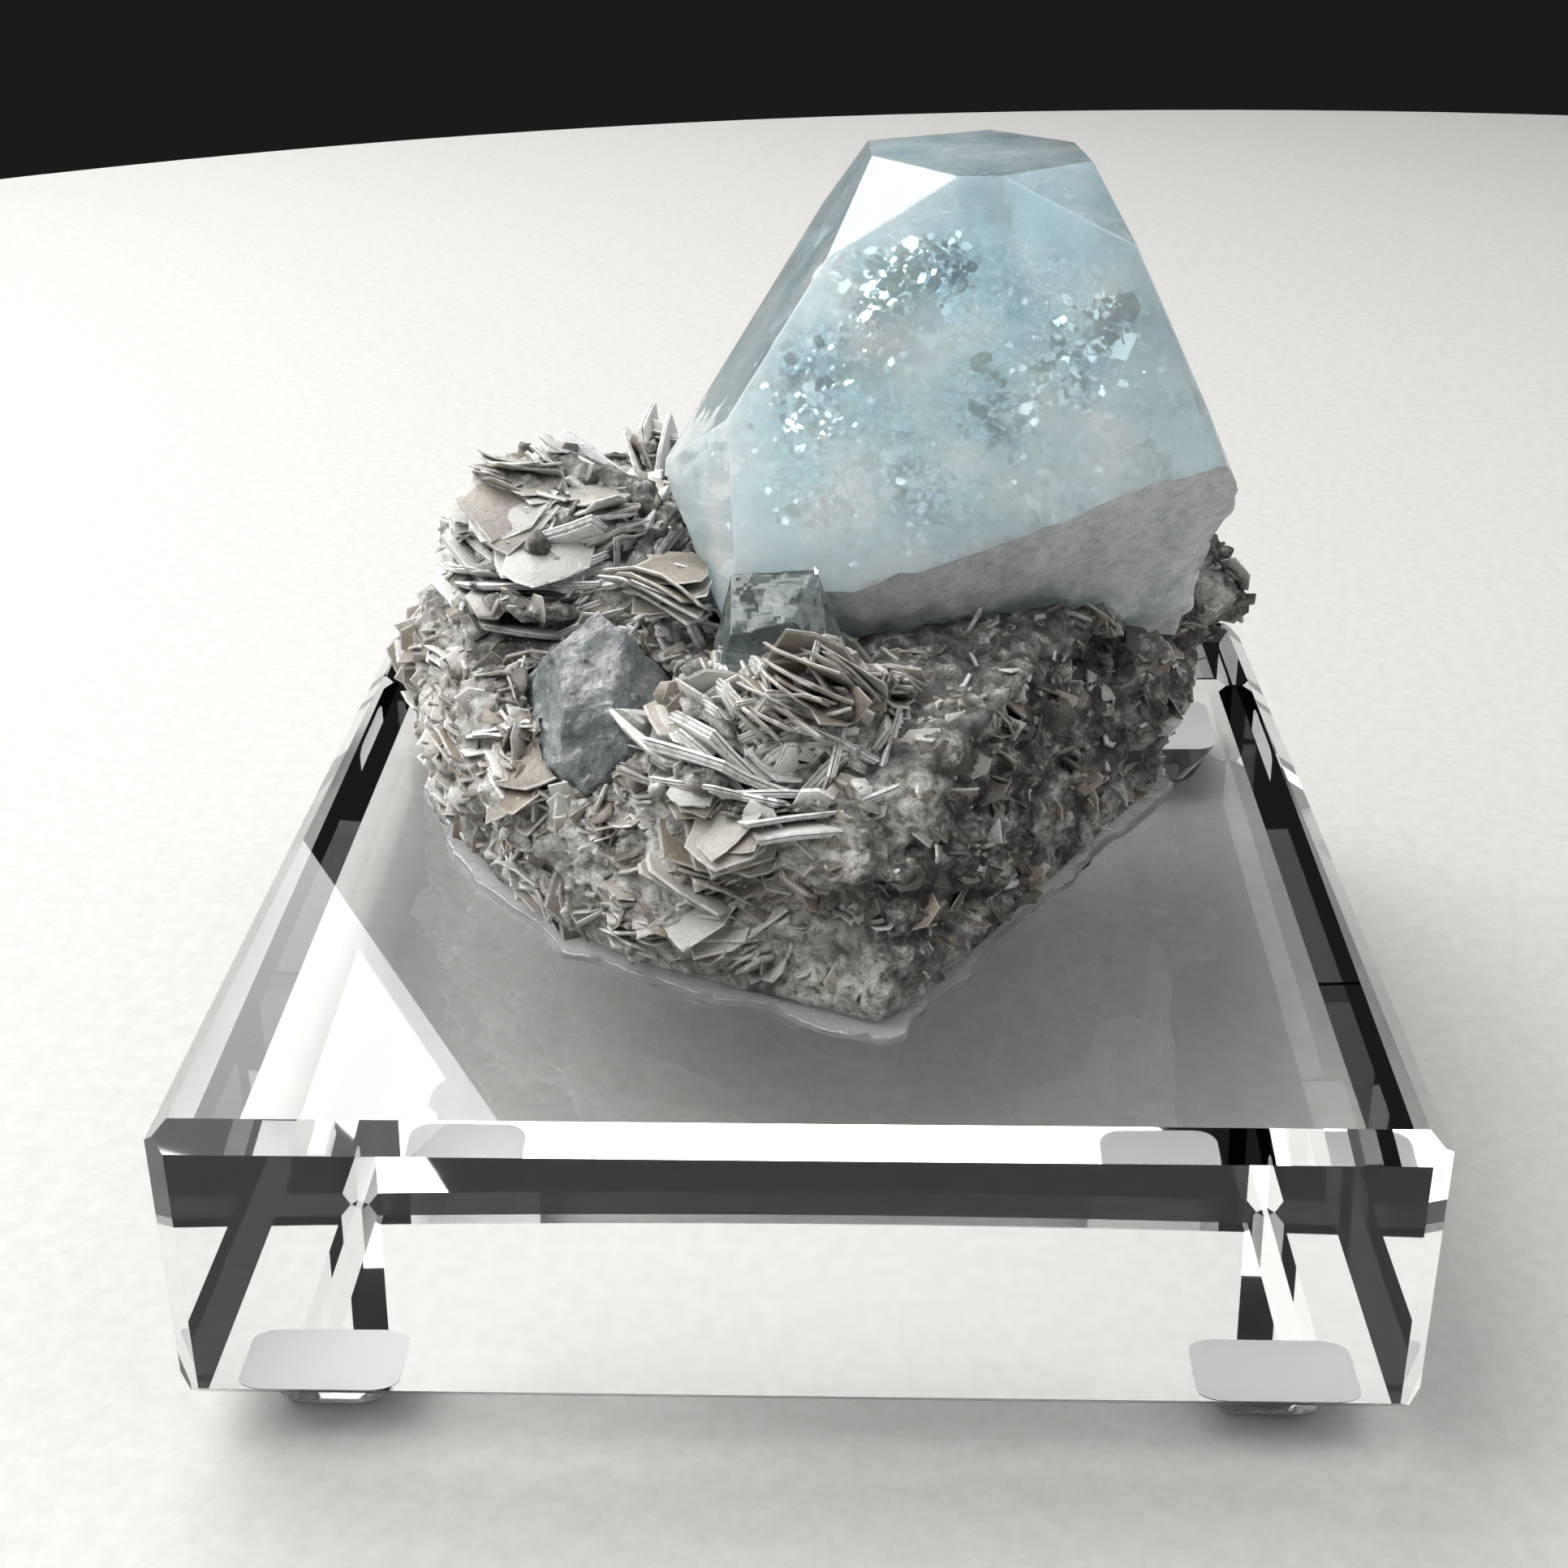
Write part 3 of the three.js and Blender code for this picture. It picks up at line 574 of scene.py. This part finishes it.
def etched_crystal(node, step, depth, round_edge, seed):
    shape = merged_copy(node)
    bmesh.ops.bevel(shape, geom=shape.edges[:], offset=round_edge, affect="EDGES", segments=2, profile=0.5,
                    material=-1)
    bmesh.ops.triangulate(shape, faces=shape.faces)
    for _ in range(7):
        longer = [e for e in shape.edges if e.calc_length() > step]
        if not longer:
            break
        bmesh.ops.subdivide_edges(shape, edges=longer, cuts=1)
        bmesh.ops.triangulate(shape, faces=[f for f in shape.faces if len(f.verts) > 3])
    shape.normal_update()
    offset = Vector((seed, seed * 2, seed * 3))
    moves = []
    for v in shape.verts:
        pit = noise.fractal(v.co / ETCH_PIT + offset, 1.0, 2.0, 4)
        moves.append(v.normal * depth * min(0.3, pit - 0.3))
    for v, move in zip(shape.verts, moves):
        v.co += move
    for face in shape.faces:
        face.smooth = False
    return shape


etched = plain_finish("etched_beryl", IOR=1.57, Transmission_Weight=0.45)
clouds = speckle(etched, 260, 6, 0.65)
# The pitted top: etched grey, with near-black specks of painted shade for its pits and near-white specks of
# painted glints.
pitted_top_and_painted_light = colour_ramp(etched, speckle(etched, 700, 8, 0.7), (0.34, (0.06, 0.058, 0.068)),
                         (0.44, (0.29, 0.3, 0.32)), (0.55, (0.47, 0.49, 0.515)), (0.66, (0.88, 0.9, 0.91)))
smooth_side = colour_ramp(etched, clouds, (0.34, (0.2, 0.235, 0.245)), (0.5, (0.38, 0.43, 0.445)),
                          (0.68, (0.6, 0.66, 0.675)))
beryl_colour = blend_colours(etched, attribute(etched, "pitted"), smooth_side, pitted_top_and_painted_light)
wire(etched, beryl_colour, shader_socket(etched, "Base Color"))
wire(etched, spread(etched, speckle(etched, 1500), 0.12, 0.45), shader_socket(etched, "Roughness"))
wire(etched, bump(etched, speckle(etched, 1300, 5, 0.7), 0.5, 0.0004), shader_socket(etched, "Normal"))
shape = etched_crystal("beryl_crystal_front", ETCH_STEP, ETCH_DEPTH * 2, 0.25 * MM, 5)
front_mesh = finished_mesh("front_beryl", shape)
upward = [1.0 if face.normal.z > PITTED_RISE else 0.0 for face in front_mesh.polygons]
front_mesh.attributes.new("pitted", "FLOAT", "FACE").data.foreach_set("value", upward)
show_piece("front_beryl", front_mesh, [etched], "grey_beryl", "beryl_crystal_front")

wedge = plain_finish("smoky_beryl", IOR=1.57, Transmission_Weight=0.75)
wedge_colour = colour_ramp(wedge, speckle(wedge, 240, 4, 0.5), (0.4, (0.16, 0.2, 0.205)),
                           (0.56, (0.27, 0.33, 0.335)), (0.7, (0.48, 0.55, 0.55)))
wire(wedge, wedge_colour, shader_socket(wedge, "Base Color"))
wire(wedge, spread(wedge, speckle(wedge, 700), 0.05, 0.3), shader_socket(wedge, "Roughness"))
shape = etched_crystal("beryl_crystal_small", ETCH_STEP, ETCH_DEPTH, 0.15 * MM, 9)
show_piece("small_beryl", finished_mesh("small_beryl", shape), [wedge], "grey_beryl", "beryl_crystal_small")

# Aquamarine: one stout pale blue beryl crystal with a flat top and bevelled faces, glassy and cloudy inside.
# Its sides are natural faces with crisp edges, and its underside is a broken, frosted surface over the rock.
EDGE_ROUND = 0.12 * MM
BREAK_STEP = 0.8 * MM
BREAK_RELIEF = ((6.0 * MM, 0.9 * MM), (2.2 * MM, 0.55 * MM))
BREAK_BORDER = ((7.0 * MM, 2.4 * MM), (2.2 * MM, 1.0 * MM))
BREAK_DIP = -0.15
MILKY_BELOW, CLEAR_ABOVE = 62 * MM, 86 * MM
# Places just under the front face in mm, each with its radius: first painted sparkles, where cracks would
# mirror the window, then painted dark reflections of the room in cracks.
PAINTED_SPARKLES = ((8.6, -3.4, 83.5, 3.0), (7.2, -4.2, 81.5, 3.6), (6.0, -5.0, 79.5, 4.2), (5.0, -6.3, 76.8, 3.6),
            (1.5, -9.2, 70.8, 3.0), (1.5, -12.7, 63.0, 2.2))
PAINTED_CRACK_REFLECTIONS = ((11.5, -3.7, 82.4, 3.0), (16.5, -4.9, 79.7, 2.6), (-0.2, -8.0, 73.2, 4.2), (1.5, -6.6, 76.0, 2.6),
          (16.5, -9.3, 70.2, 3.2), (22.7, -7.8, 73.5, 3.0), (25.3, -5.9, 77.6, 2.6), (8.7, -11.4, 65.7, 3.6))

shape = merged_copy("aquamarine_crystal")
shape.normal_update()
crisp = [e for e in shape.edges if all(f.normal.z > BREAK_DIP for f in e.link_faces)]
bmesh.ops.bevel(shape, geom=crisp, offset=EDGE_ROUND, affect="EDGES", segments=2, profile=0.5, material=-1)
shape.normal_update()
for face in shape.faces:
    face.material_index = 1 if face.normal.z < BREAK_DIP else 0
for edge in [e for e in shape.edges if len({f.material_index for f in e.link_faces}) == 2]:
    bmesh.ops.bisect_edges(shape, edges=[edge], cuts=int(edge.calc_length() / BREAK_STEP))
bmesh.ops.poke(shape, faces=[f for f in shape.faces if f.material_index])
for _ in range(8):
    longer = [e for e in shape.edges
              if e.calc_length() > BREAK_STEP and all(f.material_index for f in e.link_faces)]
    if not longer:
        break
    bmesh.ops.subdivide_edges(shape, edges=longer, cuts=1, use_single_edge=True)
    bmesh.ops.triangulate(shape, faces=[f for f in shape.faces if f.material_index and len(f.verts) > 3])
shape.normal_update()
moves = {}
for v in shape.verts:
    natural = [f for f in v.link_faces if not f.material_index]
    if not natural:
        moves[v] = v.normal * sum(rise * (noise.noise(v.co / scale) - 0.3) for scale, rise in BREAK_RELIEF)
    elif len(natural) == 1 and len(v.link_faces) > 1:
        normal = natural[0].normal
        slide = (Vector((0, 0, 1)) - normal * normal.z).normalized()
        moves[v] = slide * sum(rise * max(0.0, noise.noise(v.co / scale)) for scale, rise in BREAK_BORDER)
for v, move in moves.items():
    v.co += move
for face in shape.faces:
    face.smooth = face.material_index == 1
crystal_mesh = finished_mesh("aquamarine", shape)
is_broken = np.empty(len(crystal_mesh.polygons), int)
crystal_mesh.polygons.foreach_get("material_index", is_broken)
crystal_mesh.polygons.foreach_set("material_index", np.zeros(len(is_broken), int))
crystal_mesh.attributes.new("broken", "FLOAT", "FACE").data.foreach_set("value", is_broken.astype(float))

aquamarine = plain_finish("aquamarine", IOR=1.57, Subsurface_Weight=1.0, Subsurface_Radius=(1.0, 1.15, 1.2),
                          Subsurface_Scale=0.016)
blue = add_node(aquamarine, "ShaderNodeVolumeAbsorption", Color=(0.45, 0.84, 0.95, 1), Density=7.0)
wire(aquamarine, blue.outputs["Volume"], aquamarine.node_tree.nodes["Material Output"].inputs["Volume"])
wisps = speckle(aquamarine, 150, 4, 0.5)
specks = speckle(aquamarine, 1100, 6, 0.72)
fresh_break = attribute(aquamarine, "broken")


def by_break(natural, broken):
    """One of two sockets: the first on the natural faces, the second on the broken underside."""
    mix = add_node(aquamarine, "ShaderNodeMix")
    wire(aquamarine, fresh_break, mix.inputs[0])
    for index, source in ((2, natural), (3, broken)):
        wire(aquamarine, source, mix.inputs[index])
    return mix.outputs[0]


def combine(material, operation, first, second):
    both = add_node(material, "ShaderNodeMath")
    both.operation = operation
    wire(material, first, both.inputs[0])
    wire(material, second, both.inputs[1])
    return both.outputs[0]


def near_places(material, places):
    """How near a point is to any of the places: 1 at a place, and 0 from its radius on."""
    here = add_node(material, "ShaderNodeTexCoord").outputs["Object"]
    nearest = None
    for x, y, z, radius in places:
        gap = add_node(material, "ShaderNodeVectorMath")
        gap.operation = "DISTANCE"
        gap.inputs[1].default_value = (x * MM, y * MM, z * MM)
        wire(material, here, gap.inputs[0])
        nearness = spread(material, gap.outputs["Value"], 1, 0, 0, radius * MM)
        nearest = combine(material, "MAXIMUM", nearest, nearness) if nearest else nearness
    return nearest


# Painted glints: white flecks over the natural faces, gathered in clusters and round the painted sparkles,
# which also make the face less clear there.
fine = spread(aquamarine, speckle(aquamarine, 1300, 5, 0.75), 0.0, 1.0, 0.54, 0.66)
clusters = spread(aquamarine, speckle(aquamarine, 170, 3, 0.5), 0.05, 0.35, 0.45, 0.64)
painted_sparkle = near_places(aquamarine, PAINTED_SPARKLES)
painted_glint_flecks = combine(aquamarine, "MULTIPLY", fine, combine(aquamarine, "MAXIMUM", clusters, painted_sparkle))
# Painted dark reflections: ragged grey-green marks round the listed places, standing for cracks that mirror
# the dark room.
ragged = spread(aquamarine, speckle(aquamarine, 700, 6, 0.7), 0.0, 1.0, 0.42, 0.56)
near_painted_cracks = spread(aquamarine, near_places(aquamarine, PAINTED_CRACK_REFLECTIONS), 0.0, 0.3, 0.0, 0.6)
painted_crack_reflection = combine(aquamarine, "MULTIPLY", ragged, near_painted_cracks)
milk_and_painted_light = colour_ramp(aquamarine, wisps, (0.3, (0.70, 0.88, 0.945)), (0.5, (0.78, 0.92, 0.97)),
                   (0.7, (0.88, 0.965, 0.99)))
milk_and_painted_light = blend_colours(aquamarine, painted_glint_flecks, milk_and_painted_light, (0.97, 0.99, 1.0))
milk_and_painted_light = blend_colours(aquamarine, painted_crack_reflection, milk_and_painted_light, (0.13, 0.17, 0.17))
grey = colour_ramp(aquamarine, specks, (0.35, (0.62, 0.66, 0.665)), (0.5, (0.8, 0.84, 0.845)),
                   (0.66, (0.97, 0.985, 0.985)))
wire(aquamarine, blend_colours(aquamarine, fresh_break, milk_and_painted_light, grey), shader_socket(aquamarine, "Base Color"))
upright = add_node(aquamarine, "ShaderNodeSeparateXYZ")
wire(aquamarine, add_node(aquamarine, "ShaderNodeTexCoord").outputs["Object"], upright.inputs["Vector"])
height = spread(aquamarine, upright.outputs["Z"], -0.08, 0.2, MILKY_BELOW, CLEAR_ABOVE)
clear = combine(aquamarine, "ADD", spread(aquamarine, wisps, 0.62, 0.46), height)
clear = combine(aquamarine, "MULTIPLY", clear, spread(aquamarine, painted_glint_flecks, 1.0, 0.3, 0, 1))
inside = add_node(aquamarine, "ShaderNodeNewGeometry").outputs["Backfacing"]
clear = combine(aquamarine, "MAXIMUM", clear, inside)
wire(aquamarine, spread(aquamarine, fresh_break, 1, 0, 0, 1), shader_socket(aquamarine, "Subsurface Weight"))
see_through = by_break(clear, spread(aquamarine, wisps, 0.2, 0.05))
wire(aquamarine, see_through, shader_socket(aquamarine, "Transmission Weight"))
polish = spread(aquamarine, speckle(aquamarine, 160), 0.0, 0.08)
frost = spread(aquamarine, specks, 0.3, 0.6)
wire(aquamarine, by_break(polish, frost), shader_socket(aquamarine, "Roughness"))
ripples = spread(aquamarine, speckle(aquamarine, 120, 3, 0.5), 0.45, 0.55)
surface = bump(aquamarine, by_break(ripples, specks), 0.5, 0.8 * MM)
wire(aquamarine, surface, shader_socket(aquamarine, "Normal"))
show_piece("aquamarine", crystal_mesh, [aquamarine], "aquamarine", "aquamarine_crystal")

# Veils: tiny fluid drops, healed cracks and open cracks inside the aquamarine, in curved sheets and clouds.
# They came as the crystal cracked and partly healed: the drops scatter light, and the cracks mirror it.
VEIL_DEPTH = 0.6 * MM
# Each sheet of chips: its centre in mm, the way it faces, its reach, how many chips, and their size.
CLOUDS = (
    ((10, 2, 66), (0.1, -0.6, 0.8), 15, 2600, 0.3), ((20, 2, 72), (0.6, -0.6, 0.5), 12, 1800, 0.3),
    ((2, 0, 64), (-0.3, -0.7, 0.6), 11, 1600, 0.3), ((14, -8, 60), (0.0, -0.8, 0.6), 14, 2400, 0.3),
    ((26, 4, 66), (0.7, -0.5, 0.4), 10, 1400, 0.3), ((10, 6, 82), (0.1, -0.4, 0.9), 8, 900, 0.25))
GLINTS = (
    ((6.5, 0, 78), (0.2, -0.8, 0.5), 4.5, 420, 0.8), ((4.5, -1, 74), (0.0, -0.7, 0.7), 4, 320, 0.8),
    ((12, -7, 66), (0.2, -0.6, 0.7), 14, 500, 0.45), ((20, -1, 74), (0.3, -0.6, 0.7), 11, 330, 0.4),
    ((0, -3, 66), (-0.4, -0.6, 0.6), 9, 300, 0.5), ((24, -3, 66), (0.5, -0.6, 0.5), 11, 300, 0.4),
    ((12, -10, 58), (0.0, -0.8, 0.5), 12, 300, 0.45))
OPEN_CRACKS = (
    ((8.4, -1.8, 82.4), (-0.2, -0.5, 0.84), 2.2, 60, 0.6),
    ((7, -2.6, 80.4), (-0.2, -0.5, 0.84), 2.6, 80, 0.6),
    ((6, -3.4, 78.4), (-0.2, -0.5, 0.84), 2.6, 80, 0.6),
    ((5, -4.7, 75.7), (-0.25, -0.55, 0.8), 3.0, 70, 0.6),
    ((1.5, -7.5, 70), (-0.25, -0.55, 0.8), 3.0, 40, 0.5),
    ((12, -1.5, 81.4), (0.1, -0.8, 0.5), 3.0, 70, 0.7), ((0, -4, 72), (-0.2, -0.8, 0.5), 4.2, 80, 0.7),
    ((16.5, -4, 70), (0.1, -0.9, 0.3), 3.6, 70, 0.7), ((22.5, -2, 73), (0.3, -0.7, 0.6), 4.2, 80, 0.7),
    ((25, 0, 77), (0.6, -0.6, 0.5), 3.2, 60, 0.7), ((9, -6, 65), (0.25, -0.6, 0.7), 4.8, 90, 0.5),
    ((2, -7, 62), (0.3, -0.5, 0.8), 3.6, 60, 0.5), ((19, -5, 63), (0.3, -0.5, 0.8), 4.4, 70, 0.5))


def chip_shape(seed, sides, thickness):
    chance = random.Random(seed)
    shape = bmesh.new()
    bmesh.ops.create_circle(shape, cap_ends=True, segments=sides, radius=1.0)
    for v in shape.verts:
        v.co *= chance.uniform(0.35, 1.1)
    bmesh.ops.solidify(shape, geom=shape.faces[:], thickness=thickness)
    bmesh.ops.recalc_face_normals(shape, faces=shape.faces)
    bmesh.ops.triangulate(shape, faces=shape.faces)
    shape.verts.index_update()
    verts = np.array([v.co for v in shape.verts])
    faces = np.array([[v.index for v in f.verts] for f in shape.faces])
    shape.free()
    return verts, faces


def fill_crystal(name, seed, sheets, chips, loose, tumble, material):
    """Chips strewn along curved sheets inside the aquamarine, joined as one mesh."""
    chance = random.Random(seed)
    points, faces, filled = [], [], 0
    for centre, facing, reach, count, size in sheets:
        facing = Vector(facing).normalized()
        across = facing.orthogonal().normalized()
        upward = facing.cross(across)
        for _ in range(count):
            u, w = chance.gauss(0, 0.45) * reach, chance.gauss(0, 0.45) * reach
            sag = 0.25 * reach * noise.noise(Vector((u, w, reach)) / 6.0) + chance.gauss(0, loose)
            at = (Vector(centre) + across * u + upward * w + facing * sag) * MM
            chip = size * chance.lognormvariate(-0.5, 0.55) * MM
            if depth_in(crystals[0], np.array([at]))[0][0] > -VEIL_DEPTH - chip:
                continue
            verts, corners = chips[chance.randrange(len(chips))]
            tilt = facing + Vector([chance.gauss(0, tumble) for _ in range(3)])
            turn = tilt.to_track_quat("Z", "Y").to_matrix() @ Matrix.Rotation(chance.uniform(0, 6.28), 3, "Z")
            points.append(verts * chip @ np.array(turn).T + np.array(at))
            faces.append(corners + filled)
            filled += len(verts)
    mesh = bpy.data.meshes.new(name)
    mesh.from_pydata(np.concatenate(points).tolist(), [], np.concatenate(faces).tolist())
    show_piece(name, mesh, [material], "aquamarine")


drops = plain_finish("veil_drops", Base_Color=(0.9, 0.95, 0.97, 1), Transmission_Weight=0.2, IOR=1.3)
wire(drops, spread(drops, speckle(drops, 800), 0.2, 0.6), shader_socket(drops, "Roughness"))
fill_crystal("crystal_veils", 23, CLOUDS, [chip_shape(s, 3, 0.5) for s in range(5)], 2.0, 0.6, drops)
mirror = plain_finish("crack_mirrors", Base_Color=(0.97, 0.99, 1.0, 1), Metallic=0.25)
wire(mirror, spread(mirror, speckle(mirror, 900), 0.08, 0.35), shader_socket(mirror, "Roughness"))
fill_crystal("crystal_glints", 29, GLINTS, [chip_shape(s, 5, 0.06) for s in range(6)], 1.2, 0.6, mirror)
crack = plain_finish("open_cracks", Base_Color=(0.5, 0.55, 0.56, 1), Metallic=1.0)
wire(crack, spread(crack, speckle(crack, 1200), 0.05, 0.25), shader_socket(crack, "Roughness"))
fill_crystal("crystal_cracks", 31, OPEN_CRACKS, [chip_shape(s, 6, 0.04) for s in range(6)], 0.3, 0.24, crack)

# Stage: a plain pale round table top in a dark room, a soft window light from behind on the left,
# soft fills from the left front and the right, and the camera where the specimen is seen from.
TABLE_RADIUS = 0.6
TABLE_CENTRE = Vector((0.11, 0.01, 0.0))
CAMERA_PLACE = Vector((0.004045, -0.18524, 0.12231))
CAMERA_YAW, CAMERA_PITCH, CAMERA_ROLL = (math.radians(a) for a in (-1.89, 25.5, -0.55))
CAMERA_FOCUS = 2750.6
PICTURE_WIDTH = 1932
SENSOR_WIDTH = 36.0
ROOM_COLOUR = (0.012, 0.011, 0.010, 1)

shape = bmesh.new()
bmesh.ops.create_circle(shape, cap_ends=True, segments=160, radius=TABLE_RADIUS)
bmesh.ops.translate(shape, vec=TABLE_CENTRE, verts=shape.verts)
floor = bpy.data.objects.new("pale_table", finished_mesh("pale_table", shape))
bpy.context.scene.collection.objects.link(floor)
tabletop = plain_finish("pale_table", Roughness=0.6)
table_colour = colour_ramp(tabletop, speckle(tabletop, 500, 6, 0.7), (0.3, (0.47, 0.46, 0.44)),
                           (0.7, (0.55, 0.54, 0.52)))
wire(tabletop, table_colour, shader_socket(tabletop, "Base Color"))
floor.data.materials.append(tabletop)

world = bpy.data.worlds.new("dark_room")
world.use_nodes = True
world.node_tree.nodes["Background"].inputs["Color"].default_value = ROOM_COLOUR
bpy.context.scene.world = world


def soft_light(name, place, towards, size, watts):
    lamp = bpy.data.lights.new(name, "AREA")
    lamp.shape, lamp.size, lamp.energy = "SQUARE", size, watts
    holder = bpy.data.objects.new(name, lamp)
    holder.location = place
    holder.rotation_euler = (Vector(towards) - Vector(place)).to_track_quat("-Z", "Y").to_euler()
    bpy.context.scene.collection.objects.link(holder)


soft_light("window", (-0.38, 0.33, 0.66), (-0.03, 0.02, 0.03), 0.9, 11.5)
soft_light("front_fill", (-0.5, -0.3, 0.8), (0, 0, 0.04), 0.85, 7.0)
soft_light("right_fill", (0.55, -0.12, 0.8), (0, 0, 0.04), 0.9, 4.2)

ahead = Vector((math.sin(CAMERA_YAW) * math.cos(CAMERA_PITCH),
                math.cos(CAMERA_YAW) * math.cos(CAMERA_PITCH), -math.sin(CAMERA_PITCH)))
right = Vector((math.cos(CAMERA_YAW), -math.sin(CAMERA_YAW), 0))
above = right.cross(ahead)
turned_right = right * math.cos(CAMERA_ROLL) + above * math.sin(CAMERA_ROLL)
turned_above = above * math.cos(CAMERA_ROLL) - right * math.sin(CAMERA_ROLL)
lens = bpy.data.cameras.new("camera")
lens.sensor_width = SENSOR_WIDTH
lens.lens = SENSOR_WIDTH * CAMERA_FOCUS / PICTURE_WIDTH
lens.clip_start = 0.005
camera = bpy.data.objects.new("camera", lens)
camera.matrix_world = Matrix((turned_right, turned_above, -ahead)).transposed().to_4x4()
camera.location = CAMERA_PLACE
bpy.context.scene.collection.objects.link(camera)
bpy.context.scene.camera = camera
bpy.context.scene.view_settings.view_transform = "Standard"
bpy.context.scene.cycles.adaptive_threshold = 0.1
bpy.context.scene.cycles.max_bounces = 10
bpy.context.scene.cycles.diffuse_bounces = 3
